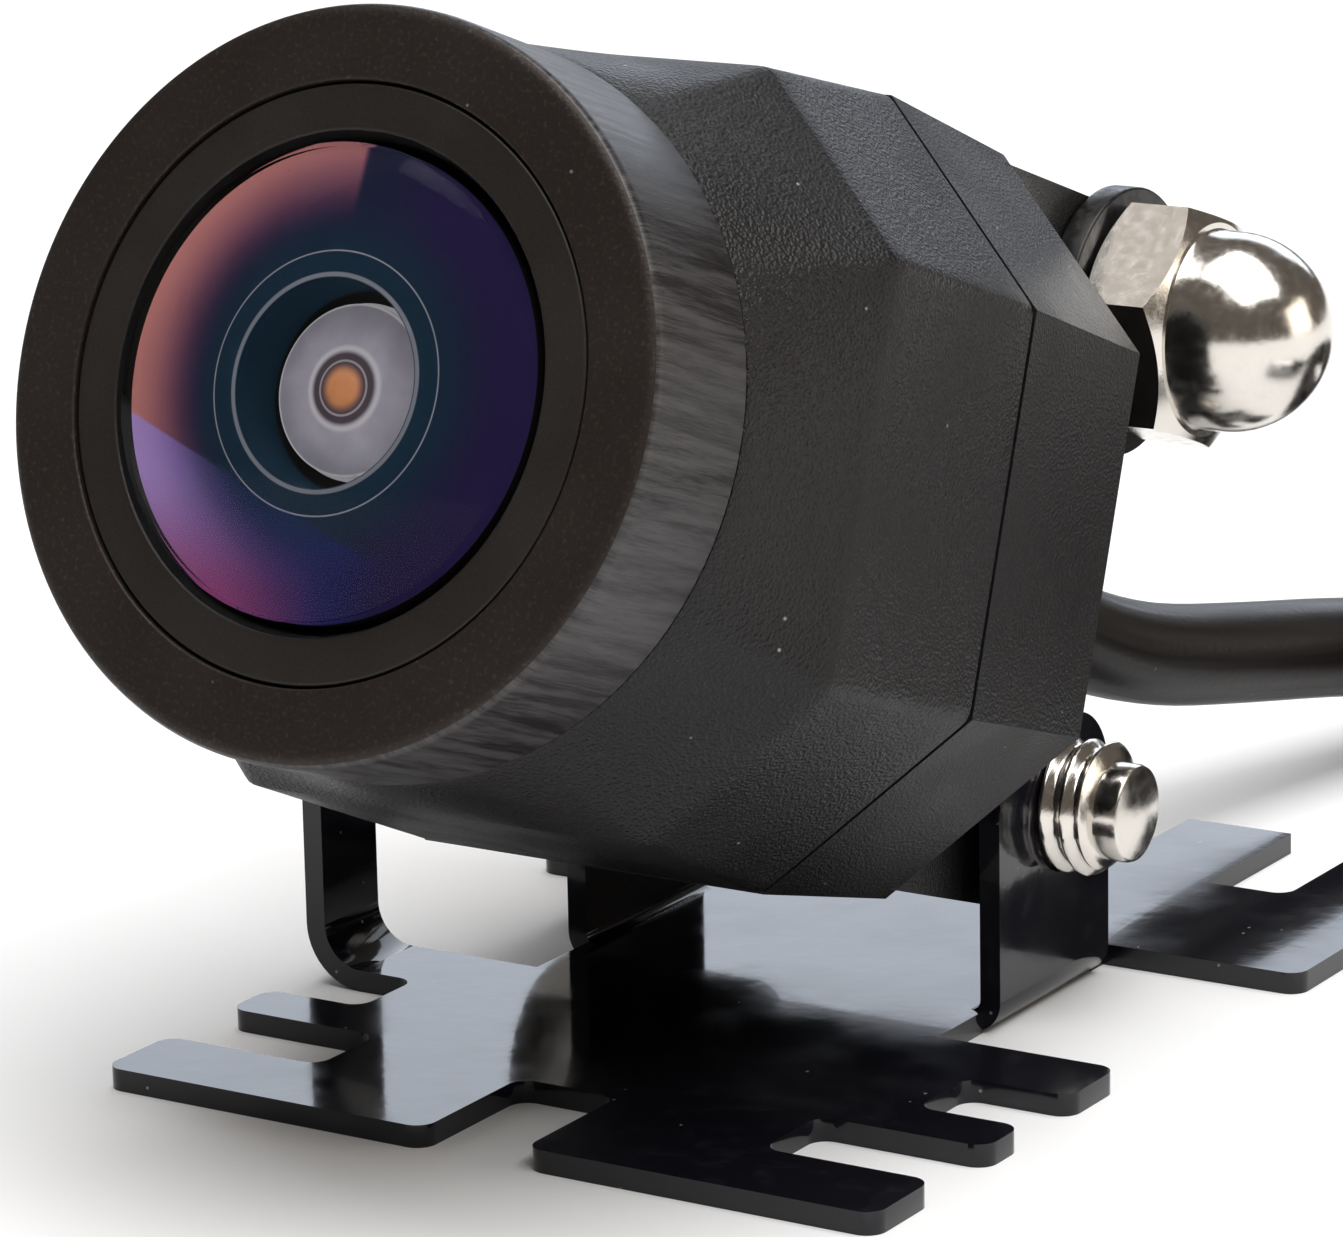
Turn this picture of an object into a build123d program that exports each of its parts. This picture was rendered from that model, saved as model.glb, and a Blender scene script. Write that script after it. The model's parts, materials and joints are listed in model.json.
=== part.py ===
from build123d import *
import os
from math import atan2, cos, pi, radians, sin, sqrt, tan

# Small square-bodied vehicle camera on a bendable steel base, in millimetres.
# Row frame: +Z up, the lens looks towards -Y, the origin is on the underside of the base
# plate, at the middle of the plate. The head is drawn in its own frame (x across, y back
# from the bezel's face, z up, lens axis at x = z = 0) and then hung on the pivot bolt.

# ---- head ----------------------------------------------------------------------------
BEZEL_R = 12.0            # machined bezel ring, outside radius
BEZEL_LEN = 5.4           # length of its brushed band
RING_R = 9.5              # lens retaining ring, outside radius
GLASS_R = 7.65            # front lens, outside radius
HALF = 13.5               # half the width and height of the square housing
CHAMFER = 6.7             # leg of its corner chamfers
FLARE_END = 10.6          # where the round front has become the square housing
FLARE_TOP = 12.6          # half height there: the top and bottom keep rising to the seam
SEAM = 20.15              # middle of the joint between housing and rear cover
HEAD_LEN = 28.2           # bezel face to the rear cover's back
REAR_TOP = 13.0           # half height of the rear cover's back end
WALL = 2.5
FRONT_WALL = 9.0          # inner face of the housing's front wall
BACK_WALL = 26.0          # inner face of the rear cover's back wall
SCREW_X, SCREW_Z = 9.0, 5.4

# ---- pivot and bracket ---------------------------------------------------------------
TILT = 19.5               # lens axis above level, as set
LUG_BACK = 36.7           # ears' holes behind the bezel's face
LUG_Z = 8.65              # and above or below the lens axis
EAR_IN, EAR_OUT, EAR_R = 4.9, 7.4, 4.0
BOLT_R = 2.42             # M5 thread as cut
WASHER_R, SPACER_R = 3.9, 3.4
DOG_R = 1.75              # plain point of the pivot bolt
SHEET = 0.8               # bracket steel
ARM_X = 9.0               # outside face of the bracket's arms
PIVOT_Y, PIVOT_Z = 2.4, 7.2
PLATE_Y = 22.3            # half the base plate's length
ACROSS_FLATS = 7.9        # M5 acorn nut and hexagon head

# ---- cable ---------------------------------------------------------------------------
CABLE_R = 2.0
COIL_R = 17.5             # middle of the coil's turns: three side by side, two on them, one on top
COIL_HALF_W, COIL_H = 6.2, 11.3
OUTER_TURN_R = 21.7       # lowest turn outside, where the lead comes in
COIL_X, COIL_Y = 29.0, 49.0
PLUG_R = 5.2

os.makedirs("parts", exist_ok=True)
HEAD = Pos(0, PIVOT_Y, PIVOT_Z) * Rot(X=-TILT) * Pos(0, -LUG_BACK, LUG_Z)


def save(name, shape, in_head=False):
    """Write one node; head pieces are turned into the row frame first."""
    solid = HEAD * shape if in_head else shape
    solids = solid.solids()
    export_step(solids[0] if len(solids) == 1 else Compound(children=list(solids)),
                f"parts/{name}.step")


def barrel(r, y0, y1, x=0.0, z=0.0):
    """Round bar along the head's y axis."""
    return Pos(x, (y0 + y1) / 2, z) * Rot(X=90) * Cylinder(r, y1 - y0)


def tube(r_out, r_in, y0, y1, x=0.0, z=0.0):
    return barrel(r_out, y0, y1, x, z) - barrel(r_in, y0 - 1, y1 + 1, x, z)


def pin(r, x0, x1, y=0.0, z=0.0):
    """Round bar along x."""
    return Pos((x0 + x1) / 2, y, z) * Rot(Y=90) * Cylinder(r, x1 - x0)


def turned(profile):
    """Solid of revolution about the head's y axis from (radius, y) corners."""
    return revolve(make_face(Polyline(*[(r, y, 0) for r, y in profile], close=True)), Axis.Y)


def octagon_points(half_x, half_z, leg_x, leg_z):
    a, b = half_x - leg_x, half_z - leg_z
    return [(half_x, -b), (half_x, b), (a, half_z), (-a, half_z),
            (-half_x, b), (-half_x, -b), (-a, -half_z), (a, -half_z)]


def octagon_face(y, half_x, half_z, leg_x, leg_z):
    points = octagon_points(half_x, half_z, leg_x, leg_z)
    return make_face(Polyline(*[(x, y, z) for x, z in points], close=True))


def round_face(y, r, points):
    """Circle cut into arcs at the same angles as an octagon's corners, for a ruled loft."""
    angles = [atan2(z, x) for x, z in points]
    arcs = []
    for i, a in enumerate(angles):
        b = angles[(i + 1) % len(angles)]
        if b < a:
            b += 2 * pi
        arcs.append(ThreePointArc(*[(r * cos(t), y, r * sin(t)) for t in (a, (a + b) / 2, b)]))
    return make_face(Wire(arcs))


def octagon_block(y0, y1, half, leg):
    return loft([octagon_face(y0, half, half, leg, leg), octagon_face(y1, half, half, leg, leg)],
                ruled=True)


def four(maker):
    return [maker(sx * SCREW_X, sz * SCREW_Z) for sx in (-1, 1) for sz in (-1, 1)]


# ---- housing -------------------------------------------------------------------------
top_leg = HALF - (2 * HALF - CHAMFER - FLARE_TOP)      # keeps the chamfers in one plane
inner_leg = CHAMFER - WALL * (2 - sqrt(2))
cavity_half = HALF - WALL
GASKET_IN, GASKET_OUT = HALF - 1.9, HALF - 1.1


def octagon_ring(y0, y1, half_out, half_in):
    """Octagonal frame for the sealing cord and its grooves."""
    step = 2 - sqrt(2)
    outer = octagon_block(y0, y1, half_out, CHAMFER - (HALF - half_out) * step)
    inner = octagon_block(y0 - 1, y1 + 1, half_in, CHAMFER - (HALF - half_in) * step)
    return outer - inner


def front_housing():
    corner = octagon_points(HALF, FLARE_TOP, top_leg, FLARE_TOP - (HALF - CHAMFER))
    flare_face = make_face(Polyline(*[(x, FLARE_END, z) for x, z in corner], close=True))
    flare = loft([round_face(BEZEL_LEN, BEZEL_R, corner), flare_face], ruled=True)
    body = loft([flare_face, octagon_face(SEAM - 0.05, HALF, HALF, CHAMFER, CHAMFER)], ruled=True)
    shell = flare + body - octagon_block(FRONT_WALL, SEAM + 1, cavity_half, inner_leg)
    for post in four(lambda x, z: barrel(1.9, FRONT_WALL - 0.2, 19.5, x, z)):
        shell += post
    for hole in four(lambda x, z: barrel(0.95, 12.0, 21.0, x, z)):
        shell -= hole
    shell -= barrel(8.4, 0, FRONT_WALL + 1) + barrel(10.6, 0, 8.0)
    return shell - octagon_ring(SEAM - 0.75, SEAM + 1, GASKET_OUT, GASKET_IN)


def rear_cover():
    front = octagon_face(SEAM + 0.05, HALF, HALF, CHAMFER, CHAMFER)
    back = octagon_face(HEAD_LEN, HALF - 0.1, REAR_TOP, 6.4, 6.4)
    cover = loft([front, back], ruled=True)
    cover -= octagon_block(SEAM - 1, BACK_WALL, cavity_half, inner_leg)
    for post in four(lambda x, z: barrel(1.9, 24.0, BACK_WALL + 0.2, x, z)):
        cover += post
    cover -= octagon_ring(SEAM - 1, SEAM + 0.75, GASKET_OUT, GASKET_IN)
    for sx in (-1, 1):
        for sz in (-1, 1):
            x = sx * (EAR_IN + EAR_OUT) / 2
            length = LUG_BACK - HEAD_LEN + 0.5
            ear = Pos(x, LUG_BACK - length / 2, sz * LUG_Z) * Box(EAR_OUT - EAR_IN, length, 2 * EAR_R)
            ear += pin(EAR_R, x - 1.25, x + 1.25, LUG_BACK, sz * LUG_Z)
            cover += ear
    for z in (-LUG_Z, LUG_Z):
        cover -= pin(BOLT_R + 0.05, -20, 20, LUG_BACK, z)
    for hole in four(lambda x, z: barrel(1.0, 20, 30, x, z) + barrel(1.55, 27.0, 30, x, z)):
        cover -= hole
    return cover - barrel(3.0, 20, 30)


save("front_housing", front_housing(), True)
save("rear_cover", rear_cover(), True)
save("cover_gasket", octagon_ring(SEAM - 0.7, SEAM + 0.7, GASKET_OUT - 0.05, GASKET_IN + 0.05), True)


def housing_screw(x, z):
    head = barrel(1.5, 27.05, 28.1, x, z) - Pos(x, 28.0, z) * Box(0.5, 0.9, 2.0)
    head -= Pos(x, 28.0, z) * Box(2.0, 0.9, 0.5)
    return head + barrel(0.95, 12.3, 27.1, x, z)


save("housing_screws", Compound(children=four(housing_screw)), True)

# ---- bezel and lens ------------------------------------------------------------------
bezel = turned([(RING_R, 0), (BEZEL_R - 0.8, 0), (BEZEL_R, 0.8), (BEZEL_R, BEZEL_LEN), (10.6, BEZEL_LEN),
                (10.6, 8.0), (8.9, 8.0), (8.9, 2.0), (RING_R, 2.0)])
save("bezel_ring", bezel, True)
save("lens_retaining_ring", turned([(7.85, 0.9), (8.3, 0.12), (9.45, 0.12), (9.45, 2.0), (8.9, 2.0),
                                    (8.9, 1.6), (7.85, 1.6)]), True)

DOME_R = 15.5
LENS_T, LENS_WELL_R = 0.7, 6.9
dome_back = sqrt(DOME_R ** 2 - GLASS_R ** 2)


def front_lens():
    """Meniscus of even thickness with a thicker ground rim that the retaining ring clamps."""
    rim = barrel(GLASS_R, -5, 1.6)
    dome = Pos(0, dome_back, 0) * Sphere(DOME_R)
    hollow = Pos(0, dome_back, 0) * Sphere(DOME_R - LENS_T) & barrel(LENS_WELL_R, -5, 5)
    return (rim & dome) - hollow


save("front_lens", front_lens(), True)
save("lens_barrel", turned([(6.85, 0.8), (6.85, 1.6), (8.3, 1.6), (8.3, 9.0), (6.0, 9.0), (6.0, 16.5),
                            (4.6, 16.5), (4.6, 9.6), (2.9, 9.6), (2.9, 1.3), (3.7, 1.15)]), True)
save("lens_seal", Pos(0, 6.5, 0) * Rot(X=90) * Torus(8.6, 0.29), True)
save("second_lens", barrel(2.85, 0.5, 6.5) & Pos(0, 8.6, 0) * Sphere(7.65), True)
save("aperture_stop", tube(2.85, 0.8, 6.7, 7.0), True)
save("third_lens", barrel(2.85, 7.2, 9.2) & Pos(0, 4.4, 0) * Sphere(4.7), True)
save("rear_lens", barrel(4.5, 9.8, 13.4) & Pos(0, 7.0, 0) * Sphere(6.6), True)
save("lens_lock_ring", tube(4.55, 3.2, 13.7, 14.9), True)
save("lens_holder", tube(7.2, 6.0, 13.0, 16.9) + tube(7.2, 3.4, 16.9, 17.3) + tube(7.2, 6.4, 17.3, 19.5),
     True)
save("ir_cut_filter", Pos(0, 17.5, 0) * Box(8.4, 0.4, 8.4), True)
save("image_sensor", Pos(0, 18.85, 0) * Box(8.0, 1.3, 7.2), True)

# ---- boards --------------------------------------------------------------------------
board_half, board_leg = 10.7, 5.2


def board(y):
    plate = octagon_block(y, y + 1.0, board_half, board_leg)
    for hole in four(lambda x, z: barrel(1.1, y - 1, y + 2, x, z)):
        plate -= hole
    return plate


save("sensor_board", board(19.5), True)
save("video_board", board(23.0), True)
save("board_spacers", Compound(children=four(lambda x, z: tube(1.4, 1.05, 20.5, 23.0, x, z))), True)
save("video_processor", Pos(-2.0, 21.05, 0) * Box(7.0, 1.1, 7.0), True)
save("power_inductor", Pos(5.6, 22.2, -2.0) * Box(3.0, 1.6, 3.0), True)
save("board_link", Pos(0, 21.75, 8.0) * Box(8.0, 2.5, 2.2), True)
save("cable_header", Pos(0, 24.9, -7.6) * Box(7.5, 1.8, 3.0), True)

# ---- cable ---------------------------------------------------------------------------
GLAND_END = 36.0
gland = turned([(CABLE_R, 24.9), (4.2, 24.9), (4.2, BACK_WALL), (3.0, BACK_WALL), (3.0, HEAD_LEN),
                (3.7, HEAD_LEN), (3.7, 29.6), (3.1, 30.4), (2.6, GLAND_END), (CABLE_R, GLAND_END)])
save("cable_gland", gland, True)


def smooth_path(points):
    """Straight runs joined by arcs as large as the shorter run at each corner allows."""
    v = [Vector(*p) for p in points]
    radii = []
    for a, b, c in zip(v, v[1:], v[2:]):
        turn = radians((b - a).get_angle(c - b))
        radii.append(0.45 * min((b - a).length, (c - b).length) / tan(turn / 2))
    print("radii", [round(r, 1) for r in radii])
    return FilletPolyline(*v, radius=radii)


def cord_tube(points, r):
    path = smooth_path(points)
    section = Plane(origin=path @ 0, z_dir=path % 0) * Circle(r)
    solid = sweep(section, path=path)
    print("cord", round(path.length, 1), "volume ratio",
          round(solid.volume / (pi * r * r * path.length), 4))
    return solid


def in_head(x, y, z):
    p = HEAD * Pos(x, y, z)
    return (p.position.X, p.position.Y, p.position.Z)


# The outer end of the gland holds the jacket; the lead beyond it runs on along the lens axis,
# droops and reaches the ground behind the camera. The rest is wound into a coil, and the
# plug lies beside it.
LEAD = [in_head(0, GLAND_END, 0), in_head(0, 40.5, 0), (0.2, 13.0, 11.8), (0.9, 17.2, 9.0), (2.0, 22.0, 7.2),
        (3.3, 27.6, 6.2), (4.7, 33.4, 5.3), (5.9, 38.6, 4.2), (6.8, 43.8, 3.0),
        (COIL_X - OUTER_TURN_R, COIL_Y + 0.6, CABLE_R + 0.1)]
TAIL_X = COIL_X + COIL_R
TAIL_END = COIL_Y - 26.0
TAIL = [(TAIL_X, COIL_Y - 4.0, 9.5), (TAIL_X, COIL_Y - 9.2, 9.5), (TAIL_X, COIL_Y - 14.6, 7.4),
        (TAIL_X, COIL_Y - 20.6, PLUG_R), (TAIL_X, TAIL_END, PLUG_R)]

save("cable_jacket_end", barrel(CABLE_R, 24.95, GLAND_END), True)
core_runs = []
for i in range(4):
    x = -2.1 + 1.4 * i
    core_path = Polyline((0.45 * x, 24.94, -0.4), (0.45 * x, 24.5, -0.4), (0.7 * x, 24.5, -2.2),
                         (x, 24.5, -6.05))
    core_runs.append(sweep(Plane(origin=core_path @ 0, z_dir=core_path % 0) * Circle(0.24),
                           path=core_path, transition=Transition.RIGHT))
save("cable_cores", Compound(children=core_runs), True)
save("cable_lead", cord_tube(LEAD, CABLE_R))


def coil():
    """Outer shape of the wound length: a ring that lies on the ground and narrows to its top."""
    outline = [(COIL_HALF_W - 1.2, 0), (COIL_HALF_W, 1.2), (COIL_HALF_W, 3.2), (CABLE_R + 0.1, COIL_H - 1.0),
               (1.2, COIL_H)]
    outline += [(-x, z) for x, z in reversed(outline)]
    face = make_face(Polyline(*[(COIL_R + x, 0, z) for x, z in outline], close=True))
    return Pos(COIL_X, COIL_Y, 0) * revolve(face, Axis.Z)


save("cable_coil", coil())
save("cable_tail", cord_tube(TAIL, CABLE_R))

# ---- plug ----------------------------------------------------------------------------
PLUG = Pos(TAIL_X, TAIL_END, PLUG_R) * Rot(Z=180)
NOSE_R, PLUG_LEN = 4.0, 27.0
save("plug_boot", PLUG * turned([(0, 0), (3.0, 0), (4.3, 7.0), (4.3, 9.0), (0, 9.0)]))
save("plug_body", PLUG * turned([(0, 9.0), (4.7, 9.0), (4.7, 15.5), (NOSE_R, 15.5), (NOSE_R, PLUG_LEN),
                                 (3.45, PLUG_LEN), (3.45, 19.0), (0, 19.0)]))
save("plug_collar", PLUG * turned([(4.06, 15.8), (5.0, 15.8), (5.0, 24.5), (4.6, 24.5), (4.6, 17.6),
                                   (4.06, 17.6)]))
contact_spots = [(1.8 * cos(radians(45 + 90 * i)), 1.8 * sin(radians(45 + 90 * i))) for i in range(4)]
insulator = barrel(3.4, 19.0, 22.5)
for x, z in contact_spots:
    insulator -= barrel(0.5, 20.0, 23.0, x, z)
save("plug_insulator", PLUG * insulator)
save("plug_pins", PLUG * Compound(children=[barrel(0.5, 20.0, 26.0, x, z) for x, z in contact_spots]))

# ---- bracket -------------------------------------------------------------------------
FINGER_X, WING_X = 15.3, 16.2
ARM_Y0, ARM_Y1, ARM_TOP = -2.6, 5.5, 10.4
BENT_Y0, BENT_Y1 = -9.2, -5.8
BENT_X, BENT_TOP = 16.0, 9.0
half_outline = [(2.0, -16.5), (2.0, -PLATE_Y), (FINGER_X, -PLATE_Y), (FINGER_X, -18.6), (8.9, -18.6),
                (8.9, -15.0), (FINGER_X, -15.0), (FINGER_X, -12.6), (11.3, -12.6), (11.3, BENT_Y0),
                (FINGER_X, BENT_Y0), (FINGER_X, BENT_Y1), (8.3, BENT_Y1), (8.3, ARM_Y0), (7.8, ARM_Y0),
                (7.8, ARM_Y1), (8.3, ARM_Y1), (8.3, 6.4), (WING_X, 6.4), (WING_X, PLATE_Y),
                (11.5, PLATE_Y), (11.5, 15.0), (8.1, 15.0), (8.1, PLATE_Y), (3.7, PLATE_Y), (3.7, 12.0)]


def bent_tab(x_flat, x_out, r_out, top, y0, y1):
    """Strip that leaves the plate and turns up; the outside of the turn has radius r_out."""
    centre = (x_out - r_out, r_out)
    inner = r_out - SHEET
    d = sqrt(0.5)
    outline = Polyline((x_flat, 0), (centre[0], 0))
    outline += ThreePointArc((centre[0], 0), (centre[0] + r_out * d, r_out - r_out * d), (x_out, r_out))
    outline += Polyline((x_out, r_out), (x_out, top), (x_out - SHEET, top), (x_out - SHEET, r_out))
    outline += ThreePointArc((x_out - SHEET, r_out), (centre[0] + inner * d, r_out - inner * d),
                             (centre[0], SHEET))
    outline += Polyline((centre[0], SHEET), (x_flat, SHEET), (x_flat, 0))
    face = make_face(outline)
    strip = extrude(Rot(X=90) * face, y1 - y0)
    return Pos(0, y1 - strip.bounding_box().max.Y, 0) * strip


def round_top(tab, radii, top):
    """Round a tab's two top corners, front one first."""
    edges = tab.edges().filter_by(Axis.X).filter_by(lambda e: abs(e.center().Z - top) < 0.01)
    for edge, r in zip(edges.sort_by(Axis.Y), radii):
        near = edge.center()
        same = tab.edges().filter_by(Axis.X).sort_by(lambda e: (e.center() - near).length)[0]
        tab = fillet(same, r)
    return tab


def bracket_base():
    outline = half_outline + [(-x, y) for x, y in reversed(half_outline)]
    flat = make_face(Polyline(*outline, close=True))
    flat = fillet(flat.vertices().filter_by(lambda v: abs(v.X) > 8.5 or v.Y < -16), 0.7)
    plate = extrude(flat, SHEET)
    plate -= Pos(-15.0, (BENT_Y0 + BENT_Y1) / 2, 0) * Box(2.6, BENT_Y1 - BENT_Y0 + 0.2, 4)
    arm = round_top(bent_tab(7.5, ARM_X, 1.2, ARM_TOP, ARM_Y0, ARM_Y1), (2.7, 2.7), ARM_TOP)
    finger = round_top(bent_tab(13.4, BENT_X, 2.3, BENT_TOP, BENT_Y0, BENT_Y1), (0.7, 0.7), BENT_TOP)
    plate = plate + arm + mirror(arm, Plane.YZ) + mirror(finger, Plane.YZ)
    plate -= pin(BOLT_R + 0.02, 0, 20, PIVOT_Y, PIVOT_Z)
    return plate - pin(BOLT_R + 0.1, -12, 0, PIVOT_Y, PIVOT_Z)


save("bracket_base", bracket_base())

# ---- pivot and clamp hardware --------------------------------------------------------


def washers(r_out, r_in, x0, x1, y, z):
    """A pair of washers, one each side."""
    ring = pin(r_out, x0, x1, y, z) - pin(r_in, x0 - 1, x1 + 1, y, z)
    return Compound(children=[ring, mirror(ring, Plane.YZ)])


def hexagon(x0, x1, y, z):
    prism = extrude(Plane.YZ * RegularPolygon(ACROSS_FLATS / 2, 6, major_radius=False), x1 - x0)
    return Pos(x0, y, z) * prism


spring_washer_x = -ARM_X - 0.8
bolt = pin(BOLT_R, spring_washer_x, 10.9, PIVOT_Y, PIVOT_Z) + pin(DOG_R, 10.8, 11.8, PIVOT_Y, PIVOT_Z)
bolt += hexagon(spring_washer_x - 2.8, spring_washer_x, PIVOT_Y, PIVOT_Z)
save("pivot_bolt", bolt)
save("spring_washer", pin(WASHER_R, spring_washer_x, -ARM_X, PIVOT_Y, PIVOT_Z)
     - pin(BOLT_R + 0.1, -12, -5, PIVOT_Y, PIVOT_Z))
save("friction_washers", washers(WASHER_R, BOLT_R + 0.05, EAR_OUT + 0.1, ARM_X - SHEET - 0.1,
                                 PIVOT_Y, PIVOT_Z))
save("pivot_spacer", pin(SPACER_R, -EAR_IN + 0.1, EAR_IN - 0.1, PIVOT_Y, PIVOT_Z)
     - pin(BOLT_R + 0.05, -6, 6, PIVOT_Y, PIVOT_Z))


NUT_X, HEX_H, DOME_R_NUT, NUT_LEN, STUD_X = 8.5, 3.2, 3.55, 7.6, 13.8
CLAMP_WASHER_R = 4.8


def acorn_nut():
    dome_x = NUT_X + NUT_LEN - DOME_R_NUT
    nut = hexagon(NUT_X, NUT_X + HEX_H, LUG_BACK, LUG_Z)
    nut += pin(DOME_R_NUT, NUT_X, dome_x, LUG_BACK, LUG_Z)
    nut += Pos(dome_x, LUG_BACK, LUG_Z) * Sphere(DOME_R_NUT)
    return nut - pin(BOLT_R, 0, STUD_X, LUG_BACK, LUG_Z)


nut = acorn_nut()
save("acorn_nuts", Compound(children=[nut, mirror(nut, Plane.YZ)]), True)
save("clamp_stud", pin(BOLT_R, -STUD_X, STUD_X, LUG_BACK, LUG_Z), True)
save("clamp_washers", washers(CLAMP_WASHER_R, BOLT_R + 0.05, EAR_OUT + 0.05, NUT_X - 0.05,
                              LUG_BACK, LUG_Z), True)
save("clamp_spacer", pin(SPACER_R, -EAR_IN + 0.05, EAR_IN - 0.05, LUG_BACK, LUG_Z)
     - pin(BOLT_R + 0.05, -6, 6, LUG_BACK, LUG_Z), True)
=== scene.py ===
import json
from math import cos, pi, radians, sin, sqrt

import bmesh
import bpy
from mathutils import Matrix, Vector


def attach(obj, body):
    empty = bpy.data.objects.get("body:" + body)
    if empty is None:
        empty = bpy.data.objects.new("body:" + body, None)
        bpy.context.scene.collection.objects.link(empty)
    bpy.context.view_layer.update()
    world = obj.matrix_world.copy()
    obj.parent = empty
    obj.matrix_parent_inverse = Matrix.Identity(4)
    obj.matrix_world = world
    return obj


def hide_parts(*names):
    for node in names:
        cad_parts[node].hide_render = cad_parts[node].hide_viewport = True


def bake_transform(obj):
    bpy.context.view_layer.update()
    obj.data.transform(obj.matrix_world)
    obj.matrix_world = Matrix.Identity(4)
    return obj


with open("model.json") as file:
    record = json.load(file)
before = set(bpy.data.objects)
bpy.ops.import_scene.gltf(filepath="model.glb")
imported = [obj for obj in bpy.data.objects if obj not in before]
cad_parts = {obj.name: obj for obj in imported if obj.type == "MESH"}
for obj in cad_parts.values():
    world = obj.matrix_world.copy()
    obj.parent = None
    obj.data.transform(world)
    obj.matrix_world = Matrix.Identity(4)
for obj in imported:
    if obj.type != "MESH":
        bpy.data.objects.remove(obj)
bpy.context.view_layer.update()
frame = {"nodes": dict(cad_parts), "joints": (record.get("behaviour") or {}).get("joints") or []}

# ---- camera --------------------------------------------------------------------------
# A long lens close above the floor, to the right of the way the object looks, so that the
# bezel, the housing's side and the hardware on that side are all in view.
YAW, PITCH, ROLL = radians(32.2), radians(14.26), radians(-1.15)
CAMERA_PLACE = Vector((0.1030, -0.17295, 0.0647))
LENS_MM, SENSOR_MM, NEAREST = 156.2, 36.0, 0.01


def in_scene(name, data):
    """A new object of the data, linked to the scene."""
    made = bpy.data.objects.new(name, data)
    bpy.context.scene.collection.objects.link(made)
    return made


back = Vector((sin(YAW) * cos(PITCH), -cos(YAW) * cos(PITCH), sin(PITCH)))
right = Vector((cos(YAW), sin(YAW), 0))
up = back.cross(right)
camera = in_scene("camera", bpy.data.cameras.new("camera"))
camera.data.lens, camera.data.sensor_width, camera.data.clip_start = LENS_MM, SENSOR_MM, NEAREST
turned_right = cos(ROLL) * right + sin(ROLL) * up
turned_up = cos(ROLL) * up - sin(ROLL) * right
axes = Matrix((turned_right, turned_up, back)).transposed()
camera.matrix_world = Matrix.Translation(CAMERA_PLACE) @ axes.to_4x4()
bpy.context.scene.camera = camera

# ---- cable ---------------------------------------------------------------------------
# Round four-core cable with a satin black jacket, 4 mm across. It comes out of the gland,
# droops to the ground behind the base, and the rest of it is wound into a neat coil of
# five and a half turns, heaped three, two and one, that ends in the plug.
MM = 0.001
PIVOT = Vector(next(j["pos_m"] for j in frame["joints"] if j["name"] == "head_tilt"))
TILT = radians(19.5)
LUG_BACK, LUG_Z = 36.7, 8.65
HEAD = (Matrix.Translation(PIVOT) @ Matrix.Rotation(-TILT, 4, "X") @ Matrix.Scale(MM, 4)
        @ Matrix.Translation((0, -LUG_BACK, LUG_Z)))
ROW = Matrix.Scale(MM, 4)
GLAND_END = 36.0
CABLE_R = 2.0
LEAD = [tuple(ROW.inverted() @ HEAD @ Vector((0, y, 0))) for y in (GLAND_END, 40.5)]
LEAD += [(0.2, 13.0, 11.8), (0.9, 17.2, 9.0), (2.0, 22.0, 7.2), (3.3, 27.6, 6.2),
         (4.7, 33.4, 5.3), (5.9, 38.6, 4.2), (6.8, 43.8, 3.0)]
COIL_X, COIL_Y = 29.0, 49.0
TURN_RADII = (21.7, 17.5, 13.3, 15.4, 19.6, 17.5)
TURN_HEIGHTS = (2.05, 2.05, 2.05, 5.65, 5.65, 9.25)
TURNS, STEPS_A_TURN, STEP_ZONE = 5.5, 28, 0.16
TAIL = [(46.5, 45.0, 9.5), (46.5, 39.8, 9.5), (46.5, 34.4, 7.4), (46.5, 28.4, 5.2),
        (46.5, 23.0, 5.2)]
CABLE_SIDES, SPLINE_STEPS = 22, 5


def coil_turns():
    """Turns lie beside each other and cross to the next place in a short zone before each ends."""
    points = []
    for i in range(round(TURNS * STEPS_A_TURN) + 1):
        turn, part = divmod(i / STEPS_A_TURN, 1)
        here, after = int(turn), min(int(turn) + 1, len(TURN_RADII) - 1)
        share = max(0.0, (part - 1 + STEP_ZONE) / STEP_ZONE)
        share = share * share * (3 - 2 * share)
        r = TURN_RADII[here] + share * (TURN_RADII[after] - TURN_RADII[here])
        z = TURN_HEIGHTS[here] + share * (TURN_HEIGHTS[after] - TURN_HEIGHTS[here])
        angle = pi - 2 * pi * part
        points.append((COIL_X + r * cos(angle), COIL_Y + r * sin(angle), z))
    return points


def nurbs_line(name, points, resolution):
    """One open NURBS spline through the row frame, from points in millimetres."""
    curve = bpy.data.curves.new(name, "CURVE")
    curve.dimensions, curve.resolution_u = "3D", resolution
    spline = curve.splines.new("NURBS")
    spline.points.add(len(points) - 1)
    for control, p in zip(spline.points, points):
        control.co = (*(MM * c for c in p), 1)
    spline.order_u = 3
    spline.use_endpoint_u = True
    line = in_scene(name, curve)
    read = bpy.data.meshes.new_from_object(line)
    path = [v.co.copy() for v in read.vertices]
    bpy.data.objects.remove(line)
    return path


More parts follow.
